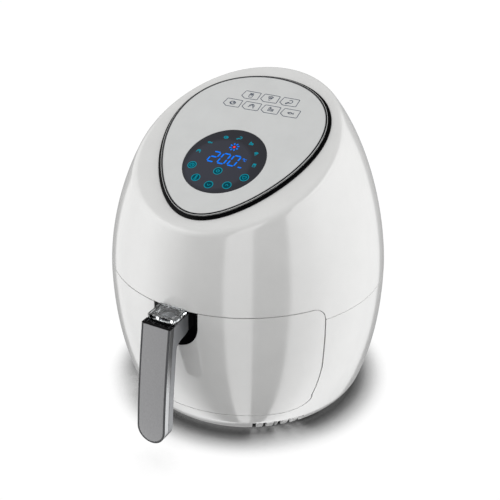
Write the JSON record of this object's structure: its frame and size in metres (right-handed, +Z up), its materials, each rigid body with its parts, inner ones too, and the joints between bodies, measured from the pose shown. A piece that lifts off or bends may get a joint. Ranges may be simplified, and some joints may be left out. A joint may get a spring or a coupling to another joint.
{
  "type": "air fryer",
  "caption": "Egg-shaped countertop hot-air fryer with a pull-out basket drawer, bar handle with guarded release button and slanted touch panel",
  "frame": {"origin": "middle of the footprint on the surface the feet stand on", "axes": "+Z up, -Y out of the drawer's front, +X to the right of someone facing the panel"},
  "size_m": [0.286, 0.3349, 0.3238],
  "materials": {
    "white_shell": "gloss",
    "panel_grey": "satin",
    "black_gloss": "gloss",
    "dark_lens": "gloss",
    "dark_plastic": "satin",
    "inner_plastic": "satin",
    "grip_plastic": "satin",
    "brushed_metal": "brushed",
    "chrome_trim": "polished",
    "liner_steel": "satin",
    "zinc_steel": "satin",
    "fan_aluminium": "satin",
    "nonstick": "satin",
    "heater_sheath": "matte",
    "rubber": "matte",
    "silicone": "matte",
    "circuit_board": "satin",
    "ceramic": "matte",
    "cable_sleeve": "matte",
    "clear_plastic": "clear"
  },
  "bodies": {
    "housing": {"lower_housing": "white_shell", "upper_housing": "white_shell", "base_plate": "dark_plastic", "feet": "rubber", "foot_screws": "zinc_steel", "base_screws": "zinc_steel", "mid_frame": "inner_plastic", "aperture_frame": "dark_plastic", "rear_grille": "dark_plastic", "cord_gland": "rubber", "terminal_block": "ceramic", "cooking_chamber": "liner_steel", "drawer_guides": "zinc_steel", "fan_dome": "liner_steel", "exhaust_duct": "liner_steel", "heater_element": "heater_sheath", "heater_brackets": "zinc_steel", "temperature_sensor": "zinc_steel", "thermal_fuse": "ceramic", "interlock_switch": "dark_plastic", "deck_posts": "zinc_steel", "motor_deck": "liner_steel", "deck_screws": "zinc_steel", "fan_motor": "zinc_steel", "motor_screws": "zinc_steel", "power_board": "circuit_board", "board_bracket": "zinc_steel", "wiring_loom": "cable_sleeve", "bezel_ring": "black_gloss", "control_fascia": "panel_grey", "display_lens": "dark_lens", "display_bracket": "dark_plastic", "display_board": "circuit_board"},
    "fan": {"fan_shaft": "zinc_steel", "convection_fan": "fan_aluminium", "cooling_fan": "dark_plastic", "fan_nut": "zinc_steel"},
    "drawer": {"drawer_front": "white_shell", "drawer_bracket": "inner_plastic", "pan": "nonstick", "pan_screws": "zinc_steel", "basket": "nonstick", "basket_bumpers": "silicone", "latch_catch": "zinc_steel", "handle_mount": "black_gloss", "handle_core": "grip_plastic", "handle_trim": "chrome_trim", "handle_face": "brushed_metal", "handle_cap": "black_gloss", "handle_screws": "zinc_steel", "latch_pin": "zinc_steel", "button_spring": "zinc_steel"},
    "button": {"release_button": "chrome_trim"},
    "latch": {"latch_lever": "zinc_steel"},
    "guard": {"button_guard": "clear_plastic"}
  },
  "joints": [
    {"name": "drawer_slide", "type": "slide", "parent": "housing", "child": "drawer", "axis": [0, -1, 0], "range_m": [0, 0.25]},
    {"name": "fan_spin", "type": "hinge", "parent": "housing", "child": "fan", "pos_m": [0, 0.0245, 0.2], "axis": [0, 0, 1], "continuous": true},
    {"name": "guard_slide", "type": "slide", "parent": "drawer", "child": "guard", "axis": [0, -1, 0], "range_m": [0, 0.017]},
    {"name": "button_press", "type": "slide", "parent": "drawer", "child": "button", "axis": [0, 0, -1], "range_m": [0, 0.003], "stiffness_N_per_m": 600, "springref_m": -0.001, "deforming": ["button_spring"]},
    {"name": "latch_turn", "type": "hinge", "parent": "drawer", "child": "latch", "pos_m": [0, -0.107, 0.1433], "axis": [1, 0, 0], "range_deg": [0, 12.6]}
  ],
  "couplings": [
    {"joint": "latch_turn", "follows": "button_press", "rad_per_m": 72}
  ]
}
